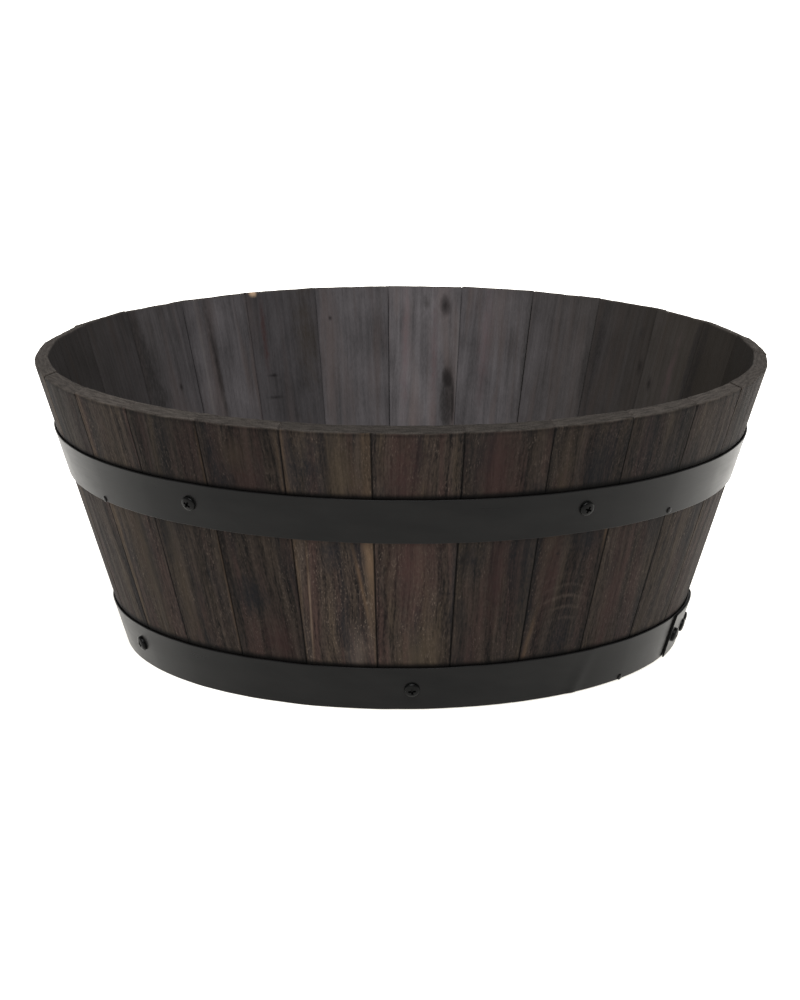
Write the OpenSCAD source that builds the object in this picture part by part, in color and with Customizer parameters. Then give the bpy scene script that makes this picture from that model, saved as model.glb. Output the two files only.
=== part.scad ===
// Wooden barrel planter: a low tapered tub of flat staves held by two steel hoops,
// with a boarded bottom (the head) let into a groove near the feet of the staves.
// Sizes are in millimetres. The origin is the centre of the base on the ground, and +Z is up.
// Azimuths are degrees from +X. The front of the planter faces -Y.

/* [Tub] */
// Outside diameter at the rim, across the flats of the staves
rim_d = 498.5; // [460:0.5:540]
// Height of the outer edge of the rim above the ground
tub_h = 195.2; // [185:0.1:215]
// Lean of the staves from upright
lean = 17.3; // [14:0.1:19]

/* [Staves] */
// Number of staves
stave_n = 27; // [26:1:28]
// Thickness of the stave boards
stave_t = 11; // [10:0.5:13]
// Gap at each seam between two staves
seam_gap = 0.4; // [0.2:0.1:0.8]
// Azimuth of the front seam
seam_az = -94.3; // [-95:0.1:-93]
// Chamfer worn along the rim edges
rim_ease = 1.2; // [0.4:0.1:2]
// Most that a stave top stands above or below the rim line
rim_step = 0.8; // [0:0.1:1.5]

/* [Head] */
// Thickness of the boards that make the bottom
head_t = 11; // [9:0.5:13]
// Height of the underside of the head above the ground
head_z = 15; // [14:0.5:20]
// Thickness that the head is bevelled down to at its edge
head_edge_t = 7; // [5:0.5:8]
// Width of the bevel round the head's upper edge
head_bevel_w = 14; // [10:1:20]
// Depth of the groove that holds the head
croze_d = 4; // [3:0.5:5]
// Diameter of the drain holes
drain_d = 12; // [8:1:16]
// Width of the battens under the head
batten_w = 35; // [30:1:40]
// Thickness of the battens under the head
batten_t = 12; // [10:0.5:13]
// Distance of each batten from the centre
batten_x = 85; // [80:1:88]

/* [Hoops] */
// Height of each hoop strip, measured upright
hoop_w = 30; // [24:1:34]
// Thickness of the hoop strip
hoop_t = 1.2; // [0.8:0.1:1.6]
// Lower edge of the upper hoop above the ground
upper_hoop_z = 120.1; // [100:0.1:140]
// Lower edge of the lower hoop above the ground
lower_hoop_z = 0.6; // [0.5:0.1:3]
// Azimuth of the free end of the upper hoop's overlap
upper_lap_az = 73; // [72:0.1:74]
// Azimuth of the free end of the lower hoop's overlap
lower_lap_az = -22.5; // [-23:0.1:-22]
// Length of each overlap
lap_len = 58; // [57:1:60]

/* [Fasteners] */
// Azimuths of the upper hoop's screws, apart from the one in its overlap
upper_screw_az = [-125.1, -60, 6, 140.6]; // [-180:0.1:180]
// Azimuths of the lower hoop's screws, apart from the one in its overlap
lower_screw_az = [-152.3, -87.9, 46, 112.6]; // [-180:0.1:180]
// Seams that hold the upper hoop's nails, counted from the front seam
upper_nail_seams = [-4, 4, 11, 17]; // [-13:1:18]
// Seams that hold the lower hoop's nails, counted from the front seam
lower_nail_seams = [4, 11, 18]; // [-13:1:18]
// Height of the upper hoop's screws and rivets above its lower edge
upper_row_h = 16.8; // [14:0.1:18]
// Height of the lower hoop's screws and rivets above its lower edge
lower_row_h = 15; // [13:0.1:18]
// Head diameter of the hoop screws
screw_head_d = 10; // [8:0.1:11]
// Head diameter of the lap rivets
rivet_head_d = 9; // [7:0.1:10]
// Head diameter of the hoop nails
nail_head_d = 4.2; // [3.6:0.1:5]

/* [Hidden] */
$fn = 48;
wood = "#4a3b33";
raw_wood = "#6b5545";
paint = "#2a2a2a";
eps = 0.01;
far = 400;                     // longer than the tub is wide
fit = 0.05;                    // clearance round a shank in its hole

// The tub
pitch = 360 / stave_n;
rim_r = rim_d / 2;
rim_len = tub_h / cos(lean);
rise = stave_t / cos(lean);    // level width of a stave board
digits = "0123456789";
stave_names = [for (i = [1 : stave_n]) str("stave_", digits[floor(i / 10)], digits[i % 10])];

// The head
head_n = 5;                    // number of boards
head_gap = 0.3;                // clearance between the head and its groove
board_gap = 0.4;
board_w = 2 * croze_r(head_z + head_edge_t) / head_n;
board_names = [for (i = [1 : head_n]) str("head_board_", i)];
bevel_at_groove = croze_d / cos(lean) * (head_t - head_edge_t) / head_bevel_w;
croze_top = head_z + head_edge_t + bevel_at_groove + head_gap;
drain_x = 125;
batten_reach = batten_x + batten_w / 2;
batten_room = 5;               // between a batten's corners and the staves
batten_end = sqrt(pow(inner_r(head_z - batten_t), 2) - pow(batten_reach, 2)) - batten_room;
end_screw_y = (1.5 * board_w + batten_end) / 2;
batten_screw_y = [-end_screw_y, -board_w, 0, board_w, end_screw_y];
batten_screw_d = 3.6;
batten_screw_head_d = 7.2;
batten_screw_len = 19;

// The hoops
lap_gap = 0.15;                // daylight between the two layers of an overlap
lap_ramp = 3;                  // degrees that the outer layer takes to step down
lap_rivet_s = [33, 50.5];      // rivets' distances from the free end
lap_screw_s = 9;               // the lap screw's distance from the free end

// The fasteners
screw_shank_d = 3.6;
screw_head_h = 2.6;
screw_len = 9;
recess_len = 5.4;
recess_w = 1.1;
recess_depth = 1.4;
rivet_shank_d = 4;
rivet_head_h = 2.4;
rivet_tail_d = 6.4;
rivet_tail_h = 0.9;
nail_shank_d = 1.8;
nail_head_h = 1;
nail_len = 9;
nail_up = 2.5;                 // height of a nail above its hoop's lower edge

// Distance from the axis to the outer flat of a stave, its inner flat and its groove's floor
function outer_r(z) = rim_r - (tub_h - z) * tan(lean);
function inner_r(z) = outer_r(z) - rise;
function croze_r(z) = inner_r(z) + croze_d / cos(lean);

// Staves count from 1, and stave 1 is the first one past the front seam
function stave_az(i) = seam_az + (i - 0.5) * pitch;
function stave_at(az) = floor((az - seam_az) / pitch) + 1;
function top_step(i) = rim_step * sin(i * 137);
function wrap(i) = (i - 1) % stave_n < 0 ? (i - 1) % stave_n + stave_n + 1 : (i - 1) % stave_n + 1;

// Angle that a length along a hoop turns through, at the hoop's middle
function lap_angle(s, z) = s / outer_r(z + hoop_w / 2) * 180 / PI;
function upper_lap(s) = upper_lap_az + lap_angle(s, upper_hoop_z);
function lower_lap(s) = lower_lap_az + lap_angle(s, lower_hoop_z);

// Height of the row of screws and rivets on the hoop whose lower edge is at z
function row_z(z) = z + (z == upper_hoop_z ? upper_row_h : lower_row_h);

// Places the children on the outer flat of the stave at this azimuth, facing outwards
module on_stave(az, z, out = 0) {
    centre = stave_az(stave_at(az));
    rotate([0, 0, centre])
        translate([outer_r(z), outer_r(z) * tan(az - centre), z])
            rotate([0, 90 + lean, 0])
                translate([0, 0, out])
                    children();
}

// Places the children on the corner between two staves, facing outwards
module on_seam(seam, z, out = 0) {
    rotate([0, 0, seam_az + seam * pitch])
        translate([outer_r(z) / cos(pitch / 2), 0, z])
            rotate([0, 90 + lean, 0])
                translate([0, 0, out])
                    children();
}

// Half-section of a shallow domed disc, from its axis to its rim
function dome(d, h) = [for (a = [0 : 15 : 75]) [d / 2 * cos(a), h * (0.35 + 0.65 * sin(a))]];

// Upright slice of the tub, one stave wide and thinner by the gap at its seams
module stave_wedge() {
    half = far * tan(pitch / 2);
    shift = seam_gap / 2 / sin(pitch / 2);
    translate([shift, 0, -eps])
        linear_extrude(tub_h * 2)
            polygon([[0, 0], [far, -half], [far, half]]);
}

// Side view of a stave: level foot, groove for the head, square-cut top with eased edges
module stave_profile(step) {
    along = [sin(lean), cos(lean)];
    inward = [-cos(lean), sin(lean)];
    outer_top = [outer_r(0), 0] + (rim_len + step) * along;
    inner_top = outer_top + stave_t * inward;
    polygon([
        [inner_r(0), 0],
        [outer_r(0), 0],
        outer_top - rim_ease * along,
        outer_top + rim_ease * inward,
        inner_top - rim_ease * inward,
        inner_top - rim_ease * along,
        [inner_r(croze_top), croze_top],
        [croze_r(croze_top), croze_top],
        [croze_r(head_z), head_z],
        [inner_r(head_z), head_z]
    ]);
}

// Holes that the hoop fasteners need in the wood
module screw_pilots(azimuths, z) {
    for (az = azimuths)
        on_stave(az, row_z(z), -screw_len - eps)
            cylinder(h = screw_len + 1, d = screw_shank_d + 2 * fit);
}

module rivet_beds(azimuths, z) {
    for (az = azimuths)
        on_stave(az, row_z(z), -rivet_tail_h - fit)
            cylinder(h = rivet_tail_h + 1, d = rivet_tail_d + 2 * fit);
}

module nail_pilots(seams, z) {
    for (seam = seams)
        on_seam(seam, z + nail_up, -nail_len - eps)
            cylinder(h = nail_len + 1, d = nail_shank_d + 2 * fit);
}

upper_screws = concat(upper_screw_az, [upper_lap(lap_screw_s)]);
lower_screws = concat(lower_screw_az, [lower_lap(lap_screw_s)]);
upper_rivets = [for (s = lap_rivet_s) upper_lap(s)];
lower_rivets = [for (s = lap_rivet_s) lower_lap(s)];

// Azimuths and seams that belong to one stave
function on_this(azimuths, i) = [for (az = azimuths) if (wrap(stave_at(az)) == i) az];
function beside_this(seams, i) = [for (s = seams) if (wrap(s) == i || wrap(s + 1) == i) s];

module stave(i) {
    color(wood)
        difference() {
            rotate([0, 0, stave_az(i)])
                intersection() {
                    stave_wedge();
                    rotate([90, 0, 0])
                        linear_extrude(far / 2, center = true)
                            stave_profile(top_step(i));
                }
            screw_pilots(on_this(upper_screws, i), upper_hoop_z);
            screw_pilots(on_this(lower_screws, i), lower_hoop_z);
            rivet_beds(on_this(upper_rivets, i), upper_hoop_z);
            rivet_beds(on_this(lower_rivets, i), lower_hoop_z);
            nail_pilots(beside_this(upper_nail_seams, i), upper_hoop_z);
            nail_pilots(beside_this(lower_nail_seams, i), lower_hoop_z);
        }
}

// The whole round of the head, its upper edge bevelled down to enter the groove
module head_round() {
    edge_z = head_z + head_edge_t;
    edge_r = croze_r(edge_z) - head_gap;
    rotate_extrude($fn = 96)
        polygon([
            [0, head_z],
            [croze_r(head_z) - head_gap, head_z],
            [edge_r, edge_z],
            [edge_r - head_bevel_w, head_z + head_t],
            [0, head_z + head_t]
        ]);
}

// One board of the head
module head_board(i) {
    y0 = (i - 1 - head_n / 2) * board_w;
    middle = y0 + board_w / 2;
    color(raw_wood)
        difference() {
            intersection() {
                head_round();
                translate([-far / 2, y0 + board_gap / 2, head_z - 1])
                    cube([far, board_w - board_gap, head_t + 2]);
            }
            if (i > 1 && i < head_n)
                drain_hole(0, middle);
            if (abs(middle) < eps)
                for (x = [-drain_x, drain_x])
                    drain_hole(x, middle);
            batten_screw_holes();
        }
}

module drain_hole(x, y) {
    translate([x, y, head_z - 1])
        cylinder(h = head_t + 2, d = drain_d);
}

module batten_screw_places() {
    for (x = [-batten_x, batten_x])
        for (y = batten_screw_y)
            translate([x, y, head_z - batten_t])
                children();
}

module batten_screw_holes() {
    batten_screw_places()
        batten_screw(fit, 0.2);
}

// Countersunk screw, pointing up from the batten's underside
module batten_screw(grow = 0, deeper = 0) {
    head_r = batten_screw_head_d / 2 + grow;
    shank_r = batten_screw_d / 2 + grow;
    tip = batten_screw_len + deeper;
    rotate_extrude()
        polygon([[0, 0], [head_r, 0], [shank_r, head_r - shank_r], [shank_r, tip - shank_r], [0, tip]]);
}

module batten(x) {
    color(raw_wood)
        difference() {
            translate([x - batten_w / 2, -batten_end, head_z - batten_t])
                cube([batten_w, 2 * batten_end, batten_t]);
            batten_screw_holes();
        }
}

module batten_screws() {
    color("silver")
        batten_screw_places()
            batten_screw();
}

// Level section of a hoop strip: once round the staves, with its start lapped over its end
module hoop_section(lap_az, z) {
    lap = lap_angle(lap_len, z);
    ramp_a = lap + 0.3;
    ramp_b = ramp_a + lap_ramp;
    first = ceil((lap_az - seam_az) / pitch) * pitch - (lap_az - seam_az);
    corners = [for (i = [0 : stave_n + 2]) first + i * pitch];
    turns = concat([0], [for (u = corners) if (u < ramp_a) u], [ramp_a, ramp_b],
        [for (u = corners) if (u > ramp_b && u < 360 + lap) u], [360 + lap]);
    last = len(turns) - 1;
    polygon(concat(
        [for (u = turns) strip_point(u, lap_az, z, 0, ramp_a, ramp_b)],
        [for (j = [last : -1 : 0]) strip_point(turns[j], lap_az, z, hoop_t, ramp_a, ramp_b)]));
}

// Level length at the strip's lower edge for one millimetre square to its middle
function level(z) = outer_r(z) / outer_r(z + hoop_w / 2) / cos(lean);

function strip_lift(u, ramp_a, ramp_b) =
    (hoop_t + lap_gap) * max(0, min(1, (ramp_b - u) / (ramp_b - ramp_a)));

function strip_point(u, lap_az, z, out, ramp_a, ramp_b) =
    let (az = lap_az + u)
    let (off_flat = az - stave_az(stave_at(az)))
    let (off_wood = (fit + out + strip_lift(u, ramp_a, ramp_b)) * level(z))
    let (r = (outer_r(z) + off_wood) / cos(off_flat))
    [r * cos(az), r * sin(az)];

module hoop(lap_az, z, screws, rivets, nails) {
    grow = outer_r(z + hoop_w) / outer_r(z);
    color(paint)
        difference() {
            translate([0, 0, z])
                linear_extrude(hoop_w, scale = grow)
                    hoop_section(lap_az, z);
            for (az = screws)
                on_stave(az, row_z(z), -1)
                    cylinder(h = 3 * hoop_t + 2, d = screw_shank_d + 2 * fit);
            for (az = rivets)
                on_stave(az, row_z(z), -1)
                    cylinder(h = 3 * hoop_t + 2, d = rivet_shank_d + 2 * fit);
            for (seam = nails)
                on_seam(seam, z + nail_up, -1)
                    cylinder(h = 3 * hoop_t + 2, d = nail_shank_d + 2 * fit);
        }
}

// Height of the strip's outside above the wood, in one layer and in the overlap
one_layer = hoop_t + 2 * fit;
two_layers = 2 * hoop_t + lap_gap + 2 * fit;

// Pan-head screw with a cross recess, its head's seat at the origin
module pan_screw(layers) {
    tip = -screw_len - layers;
    r = screw_shank_d / 2;
    difference() {
        rotate_extrude()
            polygon(concat([[0, tip + fit], [r, tip + fit + r], [r, 0], [screw_head_d / 2, 0]],
                dome(screw_head_d, screw_head_h), [[0, screw_head_h]]));
        for (turn = [0, 90])
            rotate([0, 0, turn])
                translate([-recess_len / 2, -recess_w / 2, screw_head_h - recess_depth])
                    cube([recess_len, recess_w, recess_depth + 1]);
    }
}

module hoop_screws(single, lapped, z) {
    color(paint) {
        for (az = single)
            on_stave(az, row_z(z), one_layer)
                pan_screw(one_layer);
        on_stave(lapped, row_z(z), two_layers)
            pan_screw(two_layers);
    }
}

// Rivet with a domed head outside and a flat tail bedded in the wood
module rivet() {
    tail = -two_layers;
    r = rivet_shank_d / 2;
    rotate_extrude()
        polygon(concat([[0, tail - rivet_tail_h], [rivet_tail_d / 2, tail - rivet_tail_h],
            [rivet_tail_d / 2, tail], [r, tail], [r, 0], [rivet_head_d / 2, 0]],
            dome(rivet_head_d, rivet_head_h), [[0, rivet_head_h]]));
}

module lap_rivets(azimuths, z) {
    color(paint)
        for (az = azimuths)
            on_stave(az, row_z(z), two_layers)
                rivet();
}

// Nail driven through a hoop's corner into the seam behind it
module hoop_nail() {
    tip = -nail_len - one_layer;
    r = nail_shank_d / 2;
    rotate_extrude()
        polygon(concat([[0, tip + fit], [r, tip + fit + 2 * r], [r, 0], [nail_head_d / 2, 0]],
            dome(nail_head_d, nail_head_h), [[0, nail_head_h]]));
}

module hoop_nails(seams, z) {
    color(paint)
        for (seam = seams)
            on_seam(seam, z + nail_up, one_layer)
                hoop_nail();
}

for (i = [1 : stave_n])
    stave(i);
for (i = [1 : head_n])
    head_board(i);
batten(-batten_x);  // left_batten
batten(batten_x);  // right_batten
batten_screws();
hoop(upper_lap_az, upper_hoop_z, upper_screws, upper_rivets, upper_nail_seams);  // upper_hoop
hoop(lower_lap_az, lower_hoop_z, lower_screws, lower_rivets, lower_nail_seams);  // lower_hoop
hoop_screws(upper_screw_az, upper_lap(lap_screw_s), upper_hoop_z);  // upper_hoop_screws
hoop_screws(lower_screw_az, lower_lap(lap_screw_s), lower_hoop_z);  // lower_hoop_screws
lap_rivets(upper_rivets, upper_hoop_z);  // upper_lap_rivets
lap_rivets(lower_rivets, lower_hoop_z);  // lower_lap_rivets
hoop_nails(upper_nail_seams, upper_hoop_z);  // upper_hoop_nails
hoop_nails(lower_nail_seams, lower_hoop_z);  // lower_hoop_nails
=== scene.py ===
# Looks of the wooden barrel planter: weathered staves, black hoops and their fasteners, boarded bottom.
# Everything is in metres, with the feet of the staves at z = 0 and the front facing -Y.
import math
import bmesh
import bpy
from mathutils import Matrix, Vector


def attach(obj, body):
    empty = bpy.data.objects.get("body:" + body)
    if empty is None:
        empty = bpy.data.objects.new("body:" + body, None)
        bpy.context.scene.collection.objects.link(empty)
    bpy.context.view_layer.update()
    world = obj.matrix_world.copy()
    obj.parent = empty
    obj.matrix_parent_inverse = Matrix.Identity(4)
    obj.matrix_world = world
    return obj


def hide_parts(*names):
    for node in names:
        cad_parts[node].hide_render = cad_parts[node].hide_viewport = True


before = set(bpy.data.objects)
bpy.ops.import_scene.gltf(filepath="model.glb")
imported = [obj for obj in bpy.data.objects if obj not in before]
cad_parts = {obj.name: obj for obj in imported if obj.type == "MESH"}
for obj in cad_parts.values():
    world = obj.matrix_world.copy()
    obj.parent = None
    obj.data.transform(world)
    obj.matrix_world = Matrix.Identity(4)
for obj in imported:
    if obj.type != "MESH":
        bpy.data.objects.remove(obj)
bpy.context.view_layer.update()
mm = 0.001
print("frame loaded:", len(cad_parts), "nodes")


# A socket that can be added and multiplied, so that a node tree reads like a formula
class Wire:
    def __init__(self, maker, socket):
        self.maker = maker
        self.socket = socket

    def __add__(self, other):
        return self.maker.maths("ADD", self, other)

    def __sub__(self, other):
        return self.maker.maths("SUBTRACT", self, other)

    def __rsub__(self, other):
        return self.maker.maths("SUBTRACT", other, self)

    def __mul__(self, other):
        return self.maker.maths("MULTIPLY", self, other)

    def __truediv__(self, other):
        return self.maker.maths("DIVIDE", self, other)

    def __neg__(self):
        return self.maker.maths("MULTIPLY", self, -1)

    __radd__ = __add__
    __rmul__ = __mul__


# Writes the nodes of one tree, of geometry or of a material
class Maker:
    socketKinds = {float: "NodeSocketFloat", tuple: "NodeSocketVector", type(None): "NodeSocketMaterial"}
    resultKinds = {"GEOMETRY": "NodeSocketGeometry", "RGBA": "NodeSocketColor"}

    def __init__(self, tree):
        self.tree = tree

    def node(self, kind, **settings):
        node = self.tree.nodes.new(kind)
        count = len(self.tree.nodes)
        node.location = (count % 12 * 200, -(count // 12) * 260)
        for name, value in settings.items():
            setattr(node, name, value)
        return node

    def plug(self, socket, value):
        if isinstance(value, Wire):
            value = value.socket
        if isinstance(value, bpy.types.NodeSocket):
            self.tree.links.new(value, socket)
        else:
            socket.default_value = value

    # Sets inputs by name, such as shade_smooth for Shade Smooth
    def fill(self, node, **values):
        for name, value in values.items():
            wanted = name.replace("_", " ").title()
            self.plug(next(s for s in node.inputs if s.enabled and s.name.title() == wanted), value)
        return node

    def wire(self, node):
        return Wire(self, next(s for s in node.outputs if s.enabled))

    # Makes a node, sets its inputs and gives its first output
    def step(self, kind, settings=None, **values):
        return self.wire(self.fill(self.node(kind, **(settings or {})), **values))

    # Adds named inputs with their defaults to a group, and gives a wire for each
    def inputs(self, defaults):
        for name, value in defaults.items():
            kind = self.socketKinds[type(value)]
            socket = self.tree.interface.new_socket(name, in_out="INPUT", socket_type=kind)
            if value is not None:
                socket.default_value = value
        source = self.node("NodeGroupInput")
        return {name: Wire(self, source.outputs[name]) for name in defaults}

    def outputs(self, results):
        for name, value in results.items():
            kind = self.resultKinds.get(value.socket.type, "NodeSocketFloat")
            self.tree.interface.new_socket(name, in_out="OUTPUT", socket_type=kind)
        sink = self.node("NodeGroupOutput")
        for name, value in results.items():
            self.plug(sink.inputs[name], value)

    def maths(self, operation, *values):
        node = self.node("ShaderNodeMath", operation=operation)
        for socket, value in zip(node.inputs, values):
            self.plug(socket, value)
        return Wire(self, node.outputs[0])

    def vectorMaths(self, operation, *values):
        node = self.node("ShaderNodeVectorMath", operation=operation)
        for socket, value in zip([s for s in node.inputs if s.enabled], values):
            self.plug(socket, value)
        return self.wire(node)

    # From one range to another, held at its ends
    def ramp(self, value, start, end, low=0.0, high=1.0, smooth=False):
        node = self.node("ShaderNodeMapRange", interpolation_type="SMOOTHSTEP" if smooth else "LINEAR")
        for socket, number in zip(node.inputs, (value, start, end, low, high)):
            self.plug(socket, number)
        return Wire(self, node.outputs[0])

    def vector(self, x, y, z):
        return self.step("ShaderNodeCombineXYZ", x=x, y=y, z=z)

    def split(self, vector):
        node = self.fill(self.node("ShaderNodeSeparateXYZ"), vector=vector)
        return [Wire(self, socket) for socket in node.outputs]

    def noise(self, vector, seed=0.0, scale=1.0, detail=2.0, roughness=0.5):
        return self.step("ShaderNodeTexNoise", {"noise_dimensions": "4D"}, vector=vector, w=seed,
                         scale=scale, detail=detail, roughness=roughness)

    def mix(self, amount, first, second):
        return self.step("ShaderNodeMix", {"data_type": "RGBA"}, factor=amount, a=first, b=second)

    # A box of points, its sides cut into the numbers of segments given for X, Y and Z
    def block(self, *sides):
        cube = self.node("GeometryNodeMeshCube")
        for axis, segments in zip("XYZ", sides):
            cube.inputs["Vertices " + axis].default_value = sum(segments) + 1
        return cube.outputs["Mesh"]

    # Gives the distance along a side whose runs of segments have these lengths, from 0 to 1 along it
    def spread(self, value, segments, lengths):
        total = sum(segments)
        start, place = 0, None
        for count, length in zip(segments, lengths):
            if isinstance(length, Wire) or length:
                run = self.ramp(value, start / total, (start + count) / total, 0.0, length)
                place = run if place is None else place + run
            start += count
        return place

    # Moves a point on a box's faces on to the same box with round edges
    def rounded(self, point, low, high, radius):
        margin = self.vector(radius, radius, radius)
        low = self.vectorMaths("ADD", low, margin)
        high = self.vectorMaths("SUBTRACT", high, margin)
        inside = self.vectorMaths("MINIMUM", self.vectorMaths("MAXIMUM", point, low), high)
        off = self.vectorMaths("SUBTRACT", point, inside)
        reach = self.maths("MAXIMUM", self.vectorMaths("LENGTH", off), 1e-7)
        return self.vectorMaths("ADD", inside, self.vectorMaths("SCALE", off, radius / reach))

    # Stores a vector on every point, to be read by the material
    def store(self, geometry, name, value):
        return self.step("GeometryNodeStoreNamedAttribute", {"data_type": "FLOAT_VECTOR"},
                         geometry=geometry, name=name, value=value)

    def finishGeometry(self, geometry, material):
        geometry = self.step("GeometryNodeSetShadeSmooth", geometry=geometry)
        geometry = self.step("GeometryNodeRealizeInstances", geometry=geometry)
        geometry = self.step("GeometryNodeSetMaterial", geometry=geometry, material=material)
        self.outputs({"Geometry": geometry})


def newTree(name, kind="GeometryNodeTree"):
    tree = bpy.data.node_groups.new(name, kind)
    if kind == "GeometryNodeTree":
        tree.is_modifier = True
    return tree, Maker(tree)


# Runs a geometry tree once on an object and keeps the result as its plain mesh
def grow(tree, name, values, mesh=None, sharp=38):
    piece = bpy.data.objects.new(name, mesh or bpy.data.meshes.new(name))
    bpy.context.scene.collection.objects.link(piece)
    modifier = piece.modifiers.new("shape", "NODES")
    modifier.node_group = tree
    for item in tree.interface.items_tree:
        if item.in_out == "INPUT" and item.name in values:
            modifier[item.identifier] = values[item.name]
    evaluated = piece.evaluated_get(bpy.context.evaluated_depsgraph_get())
    result = bpy.data.meshes.new_from_object(evaluated)
    piece.modifiers.clear()
    piece.data = result
    result.name = name
    result.set_sharp_from_angle(angle=math.radians(sharp))
    return piece


def hand(piece, slot, *cadNodes):
    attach(piece, "root")
    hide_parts(*cadNodes)


# The tub's own sizes, as the frame has them
tub = {
    "rimRadius": 249.25 * mm,           # to the staves' outer flats
    "height": 195.2 * mm,               # of the outer rim edge
    "lean": math.radians(17.3),
    "staves": 27,
    "thickness": 11 * mm,
    "seamGap": 0.4 * mm,
    "frontSeam": math.radians(-94.3),
}
pitch = 2 * math.pi / tub["staves"]
leanSin, leanCos, leanTan = math.sin(tub["lean"]), math.cos(tub["lean"]), math.tan(tub["lean"])
footRadius = tub["rimRadius"] - tub["height"] * leanTan
boardLength = tub["height"] / leanCos


def outerRadius(z):
    return footRadius + z * leanTan


def staveAzimuth(number):
    return tub["frontSeam"] + (number - 0.5) * pitch


# Effects that several materials share

# Lines, bands and flecks of wood grain. Board is in millimetres: across, along and deep
def grainGroup():
    tree, m = newTree("wood grain", "ShaderNodeTree")
    pins = m.inputs({"Board": (0.0, 0.0, 0.0), "Seed": 0.0, "Slant": 0.0})
    across, along, deep = m.split(pins["Board"])
    seed = pins["Seed"]
    bend = (m.noise(m.vector(across * 0.02, along * 0.013, deep * 0.02), seed * 1.7, detail=1.0) - 0.5) * 14
    run = across + along * pins["Slant"] + bend
    fibre = m.noise(m.vector(run * 0.8, along * 0.045, deep * 0.6), seed, detail=2.5, roughness=0.6)
    fuzz = m.noise(m.vector(run * 0.95, along * 0.3, deep * 0.8), seed + 3.1, detail=1.5, roughness=0.6)
    band = m.noise(m.vector(run * 0.2, along * 0.006, deep * 0.1), seed + 5.3, detail=2.5)
    fleck = m.noise(m.vector(run * 1.5, along * 0.45, deep * 0.6), seed + 11.9, detail=1.0)
    flecked = m.noise(m.vector(run * 0.09, along * 0.02, 0.0), seed + 17.3, detail=1.0)
    cloud = m.noise(m.vector(run * 0.07, along * 0.014, deep * 0.05), seed + 23.1, detail=3.0)
    m.outputs({
        "Fibre": m.ramp(fibre, 0.3, 0.7),
        "Fuzz": m.ramp(fuzz, 0.32, 0.68),
        "Band": m.ramp(band, 0.34, 0.66),
        "Fleck": m.ramp(fleck, 0.58, 0.72, smooth=True) * m.ramp(flecked, 0.36, 0.6),
        "Cloud": m.ramp(cloud, 0.33, 0.67),
    })
    return tree


# One mark on one board: 1 at its centre, 0 outside it, with a ragged border
def markGroup():
    tree, m = newTree("board mark", "ShaderNodeTree")
    pins = m.inputs({"Board": (0.0, 0.0, 0.0), "Number": 0.0, "Inside": 0.0, "Wobble": 0.0,
                     "Wanted": (0.0, 0.0, 0.0), "Centre": (0.0, 0.0, 0.0), "Size": (1.0, 1.0, 0.3)})
    across, along, deep = m.split(pins["Board"])
    wantedNumber, wantedInside, softness = m.split(pins["Wanted"])
    middle, up, slant = m.split(pins["Centre"])
    wide, tall, ragged = m.split(pins["Size"])
    x = (across - middle - (along - up) * slant) / wide
    y = (along - up) / tall
    distance = m.maths("SQRT", x * x + y * y) + pins["Wobble"] * ragged
    here = m.maths("COMPARE", pins["Number"], wantedNumber, 0.4)
    side = m.maths("COMPARE", pins["Inside"], wantedInside, 0.5)
    mask = m.ramp(distance, 1 - softness, 1 + softness * 0.3, 1.0, 0.0, smooth=True)
    m.outputs({"Mask": mask * here * side})
    return tree


def useGroup(m, tree, **values):
    node = m.fill(m.node("ShaderNodeGroup", node_tree=tree), **values)
    return {socket.name: Wire(m, socket) for socket in node.outputs}


def attribute(m, name):
    node = m.node("ShaderNodeAttribute", attribute_name=name)
    return Wire(m, node.outputs["Vector"])


def newMaterial(name, **settings):
    material = bpy.data.materials.new(name)
    material.use_nodes = True
    m = Maker(material.node_tree)
    shader = next(n for n in material.node_tree.nodes if n.type == "BSDF_PRINCIPLED")
    for socket, value in settings.items():
        shader.inputs[socket.replace("_", " ")].default_value = value
    return material, m, shader


def objectMillimetres(m):
    position = Wire(m, m.node("ShaderNodeTexCoord").outputs["Object"])
    return m.vectorMaths("SCALE", position, 1000.0)


def addBump(m, shader, height, distance, strength):
    bump = m.step("ShaderNodeBump", height=height, distance=distance, strength=strength)
    m.plug(shader.inputs["Normal"], bump)


grain = grainGroup()
mark = markGroup()
print("shared effects made")

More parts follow.
